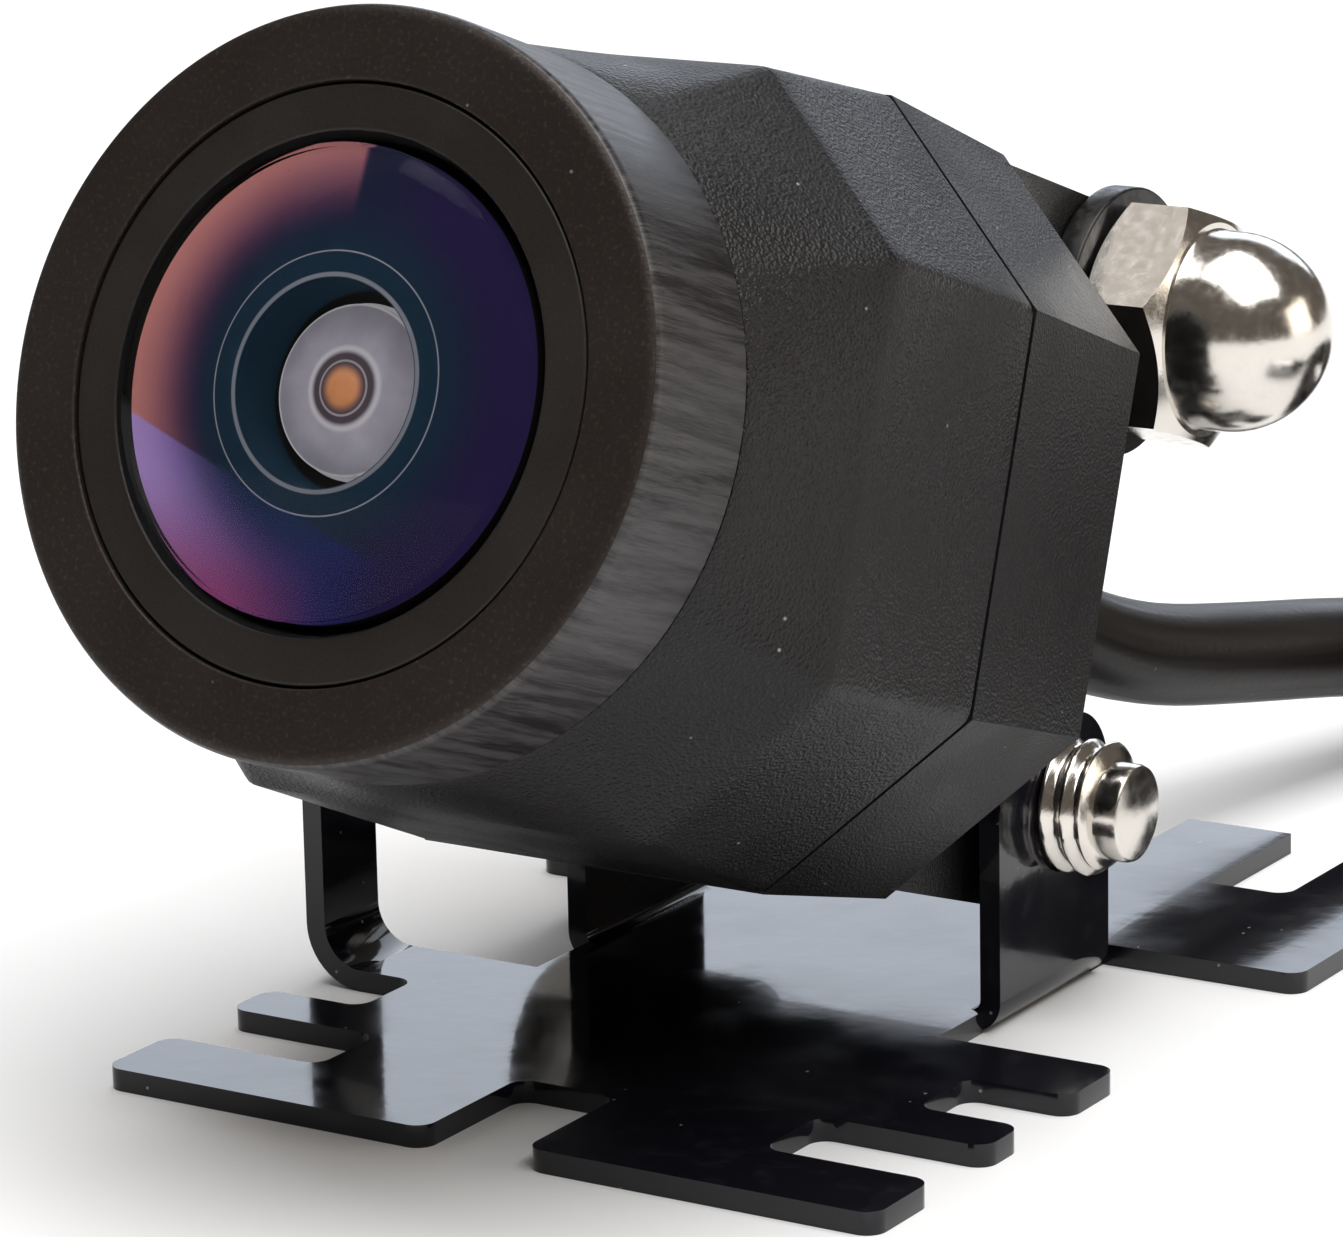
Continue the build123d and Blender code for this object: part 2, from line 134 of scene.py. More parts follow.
def tube_mesh(path, radius, sides):
    """Closed round tube along a path, with a UV map that runs round it and along it."""
    bm = bmesh.new()
    uv = bm.loops.layers.uv.new("along")
    side = (path[1] - path[0]).orthogonal().normalized()
    rings, along = [], [0.0]
    for i, p in enumerate(path):
        ahead = (path[min(i + 1, len(path) - 1)] - path[max(i - 1, 0)]).normalized()
        side = (side - ahead * side.dot(ahead)).normalized()
        other = ahead.cross(side)
        rings.append([bm.verts.new(p + radius * (cos(t) * side + sin(t) * other))
                      for t in (2 * pi * k / sides for k in range(sides))])
        if i:
            along.append(along[-1] + (p - path[i - 1]).length)
    for i, (a, b) in enumerate(zip(rings, rings[1:])):
        for k in range(sides):
            face = bm.faces.new((a[k], a[(k + 1) % sides], b[(k + 1) % sides], b[k]))
            corners = ((k, i), (k + 1, i), (k + 1, i + 1), (k, i + 1))
            for loop, (u, v) in zip(face.loops, corners):
                loop[uv].uv = (u / sides * 2 * pi * radius / MM, along[v] / MM)
    bm.faces.new(rings[0][::-1])
    bm.faces.new(rings[-1])
    return finished_mesh(bm, 50)


def finished_mesh(bm, sharp_degrees):
    """Outward faces, smooth shading with sharp edges over the given angle, as a mesh."""
    bmesh.ops.recalc_face_normals(bm, faces=bm.faces)
    mesh = bpy.data.meshes.new("finished")
    bm.to_mesh(mesh)
    bm.free()
    mesh.shade_smooth()
    mesh.set_sharp_from_angle(angle=radians(sharp_degrees))
    return mesh


def piece(name, mesh, materials, nodes, body=None):
    """A finished piece: its object at the origin, its materials and its body."""
    mesh.name = name
    for m in materials:
        mesh.materials.append(m)
    made = in_scene(name, mesh)
    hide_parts(*nodes)
    if body:
        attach(made, body)
    return made


def add(tree, kind, settings=None, **inputs):
    """A new node; each input, named with _ for a space, is a value or another node's output."""
    made = tree.nodes.new(kind)
    for key, value in (settings or {}).items():
        setattr(made, key, value)
    for key, value in inputs.items():
        socket = made.inputs[key.replace("_", " ")]
        if isinstance(value, bpy.types.NodeSocket):
            tree.links.new(value, socket)
        else:
            socket.default_value = value
    return made


def reckon(tree, operation, *values):
    """Math node on two or three values or sockets; gives its output."""
    made = tree.nodes.new("ShaderNodeMath")
    made.operation = operation
    for socket, value in zip(made.inputs, values):
        if isinstance(value, bpy.types.NodeSocket):
            tree.links.new(value, socket)
        else:
            socket.default_value = value
    return made.outputs[0]


def between(tree, value, low, high, to_low=0.0, to_high=1.0):
    """Smooth step of a socket from one range to another."""
    made = add(tree, "ShaderNodeMapRange", {"interpolation_type": "SMOOTHSTEP"}, Value=value,
               From_Min=low, From_Max=high, To_Min=to_low, To_Max=to_high)
    return made.outputs[0]


def blended(tree, share, a, b):
    """Mix of two colours, each a socket or an RGB triple."""
    made = tree.nodes.new("ShaderNodeMix")
    made.data_type = "RGBA"
    sockets = [s for s in made.inputs if s.type == "RGBA"]
    for socket, value in zip(sockets, (a, b)):
        if isinstance(value, bpy.types.NodeSocket):
            tree.links.new(value, socket)
        else:
            socket.default_value = (*value, 1)
    if isinstance(share, bpy.types.NodeSocket):
        tree.links.new(share, made.inputs[0])
    else:
        made.inputs[0].default_value = share
    return next(s for s in made.outputs if s.type == "RGBA")


def new_material(name, **constants):
    """Material with a Principled shader; constants go straight on its sockets."""
    made = bpy.data.materials.new(name)
    made.use_nodes = True
    shader = made.node_tree.nodes["Principled BSDF"]
    for key, value in constants.items():
        shader.inputs[key.replace("_", " ")].default_value = value
    return made, made.node_tree, shader


def place_of(tree, turned_to=None):
    """Object coordinates in millimetres, turned into the head's frame if that is given."""
    spot = add(tree, "ShaderNodeTexCoord").outputs["Object"]
    m = (turned_to or ROW).inverted()
    turn, size = m.to_euler(), 1 / MM
    mapping = add(tree, "ShaderNodeMapping", Vector=spot)
    mapping.inputs["Location"].default_value = m.translation
    mapping.inputs["Rotation"].default_value = turn
    mapping.inputs["Scale"].default_value = (size, size, size)
    return mapping.outputs[0]


def raised(tree, shader, height, depth_mm):
    """Bump of a height from 0 to 1 whose full depth is given in millimetres."""
    bump = add(tree, "ShaderNodeBump", Height=height, Distance=depth_mm * MM, Strength=1.0)
    tree.links.new(bump.outputs[0], shader.inputs["Normal"])


def new_group(name, sockets_in, sockets_out):
    """Shader group with the given sockets: name, type and default of each."""
    tree = bpy.data.node_groups.new(name, "ShaderNodeTree")
    for label, kind, value in sockets_in:
        socket = tree.interface.new_socket(name=label, in_out="INPUT", socket_type=kind)
        if value is not None:
            socket.default_value = value
    for label, kind in sockets_out:
        tree.interface.new_socket(name=label, in_out="OUTPUT", socket_type=kind)
    return tree, tree.nodes.new("NodeGroupInput"), tree.nodes.new("NodeGroupOutput")


def use_group(tree, group, **inputs):
    """A node that uses a group, with its inputs set."""
    return add(tree, "ShaderNodeGroup", {"node_tree": group}, **inputs)


FLOAT, VECTOR = "NodeSocketFloat", "NodeSocketVector"
# Dust and the faint smears of handling: a few bright specks and soft patches.
dust_group, dust_in, dust_out = new_group(
    "dust_and_smears", [("Place", VECTOR, None), ("Specks", FLOAT, 0.5)],
    [("Mask", FLOAT), ("Smear", FLOAT)])
specks = add(dust_group, "ShaderNodeTexVoronoi", {"feature": "F1"},
             Vector=dust_in.outputs["Place"], Scale=0.9)
close_by = between(dust_group, specks.outputs["Distance"], 0.075, 0.03)
chosen = between(dust_group, specks.outputs["Color"], 0.62, 0.66)
few = reckon(dust_group, "MULTIPLY", close_by, chosen)
dust_group.links.new(reckon(dust_group, "MULTIPLY", few, dust_in.outputs["Specks"]),
                     dust_out.inputs["Mask"])
smears = add(dust_group, "ShaderNodeTexNoise", Vector=dust_in.outputs["Place"], Scale=0.22,
             Detail=4.0)
dust_group.links.new(between(dust_group, smears.outputs["Fac"], 0.35, 0.7), dust_out.inputs["Smear"])

jacket, tree, shader = new_material("satin_jacket", Roughness=0.38, Specular_IOR_Level=0.35)
along = add(tree, "ShaderNodeUVMap", {"uv_map": "along"}).outputs[0]
drawn_out = add(tree, "ShaderNodeMapping", Vector=along, Scale=(2.2, 0.08, 1)).outputs[0]
drag = add(tree, "ShaderNodeTexNoise", Vector=drawn_out, Scale=1.0, Detail=4.0)
pits = add(tree, "ShaderNodeTexNoise", Vector=along, Scale=3.2, Detail=3.0)
dust = use_group(tree, dust_group, Place=place_of(tree), Specks=0.5)
shade = blended(tree, drag.outputs["Fac"], (0.0065, 0.0050, 0.0048), (0.014, 0.0115, 0.0105))
tree.links.new(blended(tree, dust.outputs["Mask"], shade, (0.25, 0.24, 0.22)),
               shader.inputs["Base Color"])
tree.links.new(between(tree, drag.outputs["Fac"], 0.2, 0.8, 0.30, 0.48), shader.inputs["Roughness"])
raised(tree, shader, pits.outputs["Fac"], 0.012)

lead_path = nurbs_line("cable_line", LEAD + coil_turns() + TAIL, SPLINE_STEPS)
cable = piece("camera_cable", tube_mesh(lead_path, CABLE_R * MM, CABLE_SIDES), [jacket],
              ["cable_lead", "cable_coil", "cable_tail"])

# ---- turned parts of the lens --------------------------------------------------------
# The bezel is a turned and blasted ring, pressed into the housing. Its band is brushed along
# the axis, its face is blasted to a fine brown-black grain, and its front edge is rounded.
BEZEL_R, BEZEL_LEN, RING_R, EDGE_R = 12.0, 5.4, 9.5, 0.5


def rounded(points, radii, steps=5):
    """Outline with its corners rounded; a radius of 0 keeps the corner."""
    made = []
    count = len(points)
    for i, (p, r) in enumerate(zip(points, radii)):
        here = Vector(p)
        if not r:
            made.append(here)
            continue
        before, after = Vector(points[i - 1]) - here, Vector(points[(i + 1) % count]) - here
        half = before.angle(after) / 2
        reach = min(r / max(1e-6, (sin(half) / cos(half))), 0.45 * before.length, 0.45 * after.length)
        a, b = here + before.normalized() * reach, here + after.normalized() * reach
        for k in range(steps + 1):
            t = k / steps
            made.append((1 - t) ** 2 * a + 2 * t * (1 - t) * here + t * t * b)
    return made


def lathe(profile, steps, place, closed=True, slots=None):
    """Turned shape about the y axis from (radius, y) points; slots gives each span's material."""
    bm = bmesh.new()
    rings = []
    for r, y in profile:
        ring = [(r * cos(t), y, r * sin(t)) for t in (2 * pi * k / steps for k in range(steps))]
        rings.append([bm.verts.new(place @ Vector(p)) for p in ring])
    spans = list(zip(rings, rings[1:])) + ([(rings[-1], rings[0])] if closed else [])
    for i, (a, b) in enumerate(spans):
        for k in range(steps):
            face = bm.faces.new((a[k], a[(k + 1) % steps], b[(k + 1) % steps], b[k]))
            face.material_index = slots(i) if slots else 0
    bmesh.ops.remove_doubles(bm, verts=bm.verts, dist=1e-7)
    bmesh.ops.dissolve_degenerate(bm, edges=bm.edges, dist=1e-8)
    return bm


# Blasted or moulded grain: rounded dimples of two sizes, and painted glints between them, a lighter colour on
# the raised lumps.
grain_and_glint_group, grain_in, grain_out = new_group(
    "coat_grain_and_painted_glints", [("Place", VECTOR, None), ("Size", FLOAT, 3.0), ("Roundness", FLOAT, 0.5)],
    [("Height", FLOAT), ("Painted_Glint", FLOAT)])
cells = add(grain_and_glint_group, "ShaderNodeTexVoronoi", {"feature": "SMOOTH_F1"},
            Vector=grain_in.outputs["Place"], Scale=grain_in.outputs["Size"], Smoothness=0.6)
lump_scale = reckon(grain_and_glint_group, "MULTIPLY", grain_in.outputs["Size"], 0.8)
lumps = add(grain_and_glint_group, "ShaderNodeTexNoise", Vector=grain_in.outputs["Place"], Scale=lump_scale,
            Detail=3.0, Roughness=0.6)
mixed = reckon(grain_and_glint_group, "MULTIPLY", cells.outputs["Distance"], grain_in.outputs["Roundness"])
grain_and_glint_group.links.new(reckon(grain_and_glint_group, "ADD", mixed, lumps.outputs["Fac"]),
                      grain_out.inputs["Height"])
grain_and_glint_group.links.new(between(grain_and_glint_group, lumps.outputs["Fac"], 0.52, 0.74), grain_out.inputs["Painted_Glint"])

# Brushing: fine lines along one direction, some deeper, broken by soft patches.
brush_group, brush_in, brush_out = new_group(
    "brushed_lines", [("Place", VECTOR, None)], [("Height", FLOAT), ("Shade", FLOAT)])
fine = add(brush_group, "ShaderNodeTexNoise", Vector=brush_in.outputs["Place"], Scale=1.0,
           Detail=6.0, Roughness=0.75)
broad = add(brush_group, "ShaderNodeTexNoise", Vector=brush_in.outputs["Place"], Scale=0.16,
            Detail=2.0)
both = reckon(brush_group, "ADD", fine.outputs["Fac"], broad.outputs["Fac"])
brush_group.links.new(fine.outputs["Fac"], brush_out.inputs["Height"])
brush_group.links.new(between(brush_group, both, 0.75, 1.25), brush_out.inputs["Shade"])


def grained(name, turned_to, grain, specks, colours, dust_colour, roughness, depth_mm, **constants):
    """Grained coat with painted glints that lighten its colour, and dust and smears on it; grain gives its
    size and its roundness.
    """
    made, tree, shader = new_material(name, **constants)
    spot = place_of(tree, turned_to)
    coat = use_group(tree, grain_and_glint_group, Place=spot, Size=grain[0], Roundness=grain[1])
    dust = use_group(tree, dust_group, Place=spot, Specks=specks)
    # Painted glints: the grain's raised lumps lighten the colour.
    shade = blended(tree, coat.outputs["Painted_Glint"], *colours)
    tree.links.new(blended(tree, dust.outputs["Mask"], shade, dust_colour), shader.inputs["Base Color"])
    tree.links.new(between(tree, dust.outputs["Smear"], 0, 1, *roughness), shader.inputs["Roughness"])
    raised(tree, shader, coat.outputs["Height"], depth_mm)
    return made


def marked(name, turned_to, noise, colours, roughness=None, depth_mm=None, **constants):
    """Surface that noise marks: its colour, and its roughness and height where they are given."""
    made, tree, shader = new_material(name, **constants)
    marks = add(tree, "ShaderNodeTexNoise", Vector=place_of(tree, turned_to), **noise).outputs["Fac"]
    tree.links.new(blended(tree, marks, *colours), shader.inputs["Base Color"])
    if roughness:
        tree.links.new(between(tree, marks, 0.3, 0.8, *roughness), shader.inputs["Roughness"])
    if depth_mm:
        raised(tree, shader, marks, depth_mm)
    return made


blasted = grained("blasted_anodise", HEAD, (7.5, 0.5), 0.5,
                  ((0.022, 0.0158, 0.0128), (0.052, 0.040, 0.033)), (0.4, 0.38, 0.34),
                  (0.50, 0.60), 0.016, Metallic=0.55, Specular_IOR_Level=0.5)

brushed, tree, shader = new_material("brushed_anodise", Metallic=0.6)
spot = place_of(tree, HEAD)
parts = add(tree, "ShaderNodeSeparateXYZ", Vector=spot).outputs
round_way = reckon(tree, "MULTIPLY", reckon(tree, "ARCTAN2", parts["Z"], parts["X"]), BEZEL_R)
LINES_A_MM, LINE_STRETCH = 15.0, 0.8
lines = add(tree, "ShaderNodeCombineXYZ", X=reckon(tree, "MULTIPLY", round_way, LINES_A_MM),
            Y=reckon(tree, "MULTIPLY", parts["Y"], LINE_STRETCH), Z=0.0).outputs[0]
brush = use_group(tree, brush_group, Place=lines)
tree.links.new(blended(tree, brush.outputs["Shade"], (0.020, 0.018, 0.018), (0.085, 0.080, 0.082)),
               shader.inputs["Base Color"])
tree.links.new(between(tree, brush.outputs["Shade"], 0, 1, 0.30, 0.46), shader.inputs["Roughness"])
raised(tree, shader, brush.outputs["Height"], 0.012)

FACE_SPANS, SPIGOT_R, SPIGOT_END, SEAT_R = 11, 10.55, 8.0, 8.9
TURNED_STEPS, SMALL_STEPS = 192, 96
bezel_corners = [(RING_R + 0.02, 2.0), (RING_R + 0.02, 0), (BEZEL_R, 0), (BEZEL_R, BEZEL_LEN),
                 (SPIGOT_R, BEZEL_LEN), (SPIGOT_R, SPIGOT_END), (SEAT_R, SPIGOT_END), (SEAT_R, 2.0)]
bezel_profile = rounded(bezel_corners, (0, 0.12, EDGE_R, 0.08, 0, 0, 0, 0), steps=6)
bezel = lathe(bezel_profile, TURNED_STEPS, HEAD, slots=lambda i: 0 if i < FACE_SPANS else 1)
piece("bezel", finished_mesh(bezel, 40), [blasted, brushed], ["bezel_ring"], "camera")

# Retaining ring: smooth anodised ring screwed in to clamp the front glass. Its inner edge is a
# steep cone, black as the gap round the glass.
ring_finish = grained("ring_anodise", HEAD, (14.0, 0.3), 0.4,
                      ((0.019, 0.0155, 0.014), (0.034, 0.029, 0.026)), (0.3, 0.29, 0.27),
                      (0.42, 0.52), 0.003, Metallic=0.35, Specular_IOR_Level=0.5)
deep_black = marked("flat_black", None, {"Scale": 6.0, "Detail": 3.0}, ((0.002,) * 3, (0.006,) * 3),
                    Roughness=0.85, Specular_IOR_Level=0.2)
ring_profile = rounded([(7.74, 0.9), (7.96, 0.1), (9.44, 0.1), (9.44, 2.0), (SEAT_R, 2.0),
                        (SEAT_R, 1.7), (7.74, 1.7)], (0.1, 0.12, 0.12, 0, 0, 0, 0))
COATED_SPANS = range(7, 19)
ring = lathe(ring_profile, TURNED_STEPS, HEAD, slots=lambda i: 0 if i in COATED_SPANS else 1)
piece("glass_ring", finished_mesh(ring, 40), [ring_finish, deep_black],
      ["lens_retaining_ring"], "camera")

# Front glass: a shallow polished dome with a coating that hardly mirrors, clear to look through.
GLASS_R, DOME_R, GLASS_T, GLASS_Y, DOME_RINGS, LENS_STEPS = 7.52, 15.5, 0.35, -0.2, 24, 160
glass, tree, shader = new_material("coated_glass", Roughness=0.0, IOR=1.09, Transmission_Weight=1.0)
spot = place_of(tree, HEAD)
dust = use_group(tree, dust_group, Place=spot, Specks=0.5)
tree.links.new(blended(tree, dust.outputs["Mask"], (1.0, 1.0, 1.0), (0.6, 0.62, 0.66)),
               shader.inputs["Base Color"])
tree.links.new(between(tree, dust.outputs["Mask"], 0, 1, 0.0, 0.3), shader.inputs["Roughness"])


def dome_y(r):
    """How far back the dome lies at radius r."""
    return GLASS_Y + sqrt(DOME_R ** 2 - GLASS_R ** 2) - sqrt(DOME_R ** 2 - r ** 2)


dome_steps = [GLASS_R * k / DOME_RINGS for k in range(DOME_RINGS + 1)]
front_face = [(r, dome_y(r)) for r in dome_steps]
rear_face = [(r * 0.985, dome_y(r) + GLASS_T * (1 - 0.3 * (r / GLASS_R) ** 2))
             for r in reversed(dome_steps)]
dome = lathe(front_face + rear_face, LENS_STEPS, HEAD, closed=False)
piece("outer_glass", finished_mesh(dome, 60), [glass], ["front_lens"], "camera")

# Lens barrel: black, with the coated well that shows behind the glass. Painted on the well are
# the coatings' reflections: rose at the upper left, violet at the lower left, indigo to the right
# and dark teal in the middle. Two bright turned edges that ring the second element carry painted
# highlights, and the well gives off these colours as a faint glow too.
WELL_R, WELL_CURVE, BORE_R, WELL_RINGS, WELL_RIM_Y = 7.5, 60.0, 3.3, 20, 0.45
FINE_EDGE_R, BROAD_EDGE_R = 4.15, 3.40


def well_y(r):
    """How far back the well's surface lies at radius r."""
    return WELL_RIM_Y - (WELL_R ** 2 - r ** 2) / (2 * WELL_CURVE)


def lens_place(tree):
    """Millimetres across and up from the lens axis, and away from it."""
    parts = add(tree, "ShaderNodeSeparateXYZ", Vector=place_of(tree, HEAD)).outputs
    across, height = parts["X"], parts["Z"]
    squares = [reckon(tree, "MULTIPLY", value, value) for value in (across, height)]
    return across, height, reckon(tree, "SQRT", reckon(tree, "ADD", *squares))


def line_at(tree, radius, middle, outer, inner):
    """A soft line round the axis: none past outer from its middle, full within inner."""
    away = reckon(tree, "ABSOLUTE", reckon(tree, "SUBTRACT", radius, middle))
    return between(tree, away, outer, inner)


def past(tree, radius, across, lean, low, high):
    """How far out a spot lies, from low to high, with the middle moved sideways by lean."""
    leaning = reckon(tree, "ADD", radius, reckon(tree, "MULTIPLY", across, lean))
    return between(tree, leaning, low, high)


def painted_glow(tree, shader, colour, glow):
    """A colour for the surface that it also gives off as a painted glow, though it is no lamp."""
    tree.links.new(colour, shader.inputs["Base Color"])
    tree.links.new(colour, shader.inputs["Emission Color"])
    shader.inputs["Emission Strength"].default_value = glow


painted_well_reflections, tree, shader = new_material("well_painted_reflections", Roughness=0.7, Specular_IOR_Level=0.03)
across, height, radius = lens_place(tree)
left = between(tree, across, 0.15, -0.15)
# Painted reflection: a rose crescent at the upper left.
rose_reflection = reckon(tree, "MULTIPLY", past(tree, radius, across, -0.10, 4.7, 8.5), left)
edge_line = reckon(tree, "ADD", height, reckon(tree, "MULTIPLY", across, 0.37))
below = between(tree, edge_line, -4.22, -4.34)
rose = blended(tree, rose_reflection, (0.13, 0.035, 0.10), (0.36, 0.14, 0.13))
upper_colour = blended(tree, rose_reflection, (0.008, 0.010, 0.026), rose)
# Painted reflection: a violet crescent at the lower left, warmer further down.
violet_reflection = reckon(tree, "MULTIPLY", past(tree, radius, across, -0.12, 4.4, 8.7),
                    between(tree, across, 1.6, -3.4))
warmer = between(tree, height, -3.0, -7.0)
violet = blended(tree, warmer, (0.27, 0.17, 0.42), (0.20, 0.035, 0.13))
lower_colour = blended(tree, violet_reflection, (0.009, 0.011, 0.065), violet)
both = blended(tree, below, upper_colour, lower_colour)
# Painted reflection: dark teal towards the middle.
middle = between(tree, radius, 6.3, 3.2)
teal = blended(tree, reckon(tree, "MULTIPLY", middle, 0.75), both, (0.006, 0.020, 0.032))
# Painted reflection: indigo to the right.
on_right = between(tree, across, 0.4, 3.4)
indigo = blended(tree, reckon(tree, "MULTIPLY", on_right, between(tree, radius, 4.4, 6.6)), teal,
                 (0.012, 0.008, 0.036))
# Painted highlights: bright lines on the two turned edges.
fine_edge_highlight = reckon(tree, "MULTIPLY", line_at(tree, radius, FINE_EDGE_R, 0.035, 0.01), 0.5)
broad_edge_highlight = reckon(tree, "MULTIPLY", line_at(tree, radius, BROAD_EDGE_R, 0.10, 0.04), 0.35)
edges = reckon(tree, "MAXIMUM", fine_edge_highlight, broad_edge_highlight)
# The painted reflections and highlights are also given off as a glow.
painted_glow(tree, shader, blended(tree, edges, indigo, (0.34, 0.34, 0.38)), 0.25)
well_steps = [WELL_R + (BORE_R - WELL_R) * k / WELL_RINGS for k in range(WELL_RINGS + 1)]
well_spans = [(r, well_y(r)) for r in well_steps]
barrel_profile = well_spans + [(BORE_R - 0.1, 2.1), (2.9, 9.6), (4.6, 9.6), (4.6, 16.5), (6.0, 16.5),
                               (6.0, 9.0), (8.3, 9.0), (8.3, 1.72), (WELL_R, 1.72)]
barrel = lathe(barrel_profile, LENS_STEPS, HEAD, slots=lambda i: 0 if i <= WELL_RINGS else 1)
piece("coated_barrel", finished_mesh(barrel, 30), [painted_well_reflections, deep_black],
      ["lens_barrel"], "camera")

# Second element: a small domed glass whose milky face rings the amber pupil, with a dark ring
# between. On it are painted highlights: a pale halo round the dark ring, a light ring round the
# pupil and a bright line at the rim. The whole face gives off a faint painted glow.
ELEMENT_R, ELEMENT_Y, ELEMENT_DOME, ELEMENT_RINGS = 2.72, 1.6, 7.0, 14
element, tree, shader = new_material("second_element", Roughness=0.5, Specular_IOR_Level=0.1,
                                     Coat_Weight=0.35, Coat_Roughness=0.03)
radius = lens_place(tree)[2]
cloud = add(tree, "ShaderNodeTexNoise", Vector=place_of(tree, HEAD), Scale=0.9, Detail=3.0)
milky = blended(tree, cloud.outputs["Fac"], (0.17, 0.16, 0.20), (0.30, 0.29, 0.33))
amber = blended(tree, cloud.outputs["Fac"], (0.26, 0.10, 0.02), (0.50, 0.22, 0.12))
# Painted highlight: a pale halo inside 1.4 mm, round the dark ring.
colour = blended(tree, between(tree, radius, 1.42, 1.28), milky, (0.34, 0.33, 0.36))
colour = blended(tree, between(tree, radius, 1.26, 1.06), colour, (0.045, 0.035, 0.045))
# Painted highlight: a light ring at 0.86 mm round the amber pupil.
colour = blended(tree, line_at(tree, radius, 0.86, 0.05, 0.02), colour, (0.20, 0.18, 0.19))
colour = blended(tree, between(tree, radius, 0.82, 0.45), colour, amber)
# Painted highlight: a bright line just inside the rim.
rim_highlight = between(tree, radius, ELEMENT_R - 0.09, ELEMENT_R - 0.03)
painted_glow(tree, shader, blended(tree, rim_highlight, colour, (0.50, 0.49, 0.52)), 0.35)
element_steps = [ELEMENT_R * k / ELEMENT_RINGS for k in range(ELEMENT_RINGS + 1)]
element_profile = [(r, ELEMENT_Y - (ELEMENT_R ** 2 - r ** 2) / (2 * ELEMENT_DOME)) for r in element_steps]
element_profile += [(ELEMENT_R, 2.1), (2.82, 2.1), (2.82, 6.5), (0, 6.5)]
element_mesh = lathe(element_profile, SMALL_STEPS, HEAD, closed=False)
piece("second_element", finished_mesh(element_mesh, 40), [element],
      ["second_lens"], "camera")

# ---- housing -------------------------------------------------------------------------
# Die-cast front housing: round where it takes the bezel, and flared to a square with broad
# chamfers. Its coat has a coarse, glossy moulded grain, with painted glints on its raised lumps.
HALF, FLARE_END, FLARE_TOP, SEAM = 13.5, 10.6, 12.6, 20.15
CORNER_PLANE = 20.3 / sqrt(2)
AROUND = 384
SOFTNESS = 170


def squared(angle, side, top, corner, inset=0.0):
    """Radius at an angle of an octagon with softened corners, all sides moved in by inset."""
    total = 0.0
    for k in range(8):
        distance = (side, corner, top, corner)[k % 4] - inset
        facing = cos(angle - k * pi / 4)
        if facing > 0.3:
            total += (facing / distance) ** SOFTNESS
    return total ** (-1 / SOFTNESS)


def ringed(rings, place, count):
    """Closed shell from rings: each a y, or its function of angle, and the radius's function."""
    bm = bmesh.new()
    made = []
    for y, radius_at in rings:
        ring = []
        for k in range(count):
            t = 2 * pi * k / count
            r, at = radius_at(t), y(t) if callable(y) else y
            ring.append(bm.verts.new(place @ Vector((r * cos(t), at, r * sin(t)))))
        made.append(ring)
    for a, b in zip(made, made[1:] + made[:1]):
        for k in range(count):
            bm.faces.new((a[k], a[(k + 1) % count], b[(k + 1) % count], b[k]))
    bmesh.ops.remove_doubles(bm, verts=bm.verts, dist=1e-7)
    return bm


def circle_of(r):
    return lambda t: r


def flare_of(share):
    return lambda t: (1 - share) * BEZEL_R + share * squared(t, HALF, FLARE_TOP, CORNER_PLANE)


def body_of(y, inset=0.0):
    top = FLARE_TOP + (HALF - FLARE_TOP) * (y - FLARE_END) / (SEAM - FLARE_END)
    return lambda t: squared(t, HALF, top, CORNER_PLANE, inset)


coarse_coat = grained("grained_coat", HEAD, (8.4, 1.0), 0.6,
                      ((0.0075, 0.0068, 0.0070), (0.016, 0.015, 0.0155)),
                      (0.4, 0.4, 0.4), (0.34, 0.44), 0.040, Specular_IOR_Level=0.27)
WALL, FLARE_START, FLARE_RINGS, BODY_RINGS = 2.4, 5.56, 12, 10
NECK_R, HOOD_R, STEP_Y = 10.58, 8.42, 5.46
housing_rings = [(SPIGOT_END, circle_of(NECK_R)), (STEP_Y, circle_of(NECK_R)), (STEP_Y, circle_of(11.85)),
                 (5.5, circle_of(11.96))]
for k in range(FLARE_RINGS + 1):
    y = FLARE_START + (FLARE_END - FLARE_START) * k / FLARE_RINGS
    housing_rings.append((y, flare_of(k / FLARE_RINGS)))
for k in range(1, BODY_RINGS + 1):
    y = FLARE_END + (SEAM - 0.2 - FLARE_END) * k / BODY_RINGS
    housing_rings.append((y, body_of(y)))
housing_rings += [(SEAM - 0.10, body_of(SEAM, 0.03)), (SEAM - 0.05, body_of(SEAM, 0.12)),
                  (SEAM - 0.05, body_of(SEAM, WALL)), (9.0, body_of(SEAM, WALL)),
                  (9.0, circle_of(HOOD_R)), (SPIGOT_END, circle_of(HOOD_R))]
housing = ringed(housing_rings, HEAD, AROUND)
piece("housing", finished_mesh(housing, 32), [coarse_coat], ["front_housing"],
      "camera")


def evaluated_mesh(holder):
    """Mesh of an object with its modifiers at work; the object itself goes."""
    bpy.context.view_layer.update()
    evaluated = holder.evaluated_get(bpy.context.evaluated_depsgraph_get())
    result = bpy.data.meshes.new_from_object(evaluated)
    bpy.data.objects.remove(holder)
    return result


# Faces larger than this area, in square metres, are flat ones and are shaded so.
FLAT_FACE = 3e-6


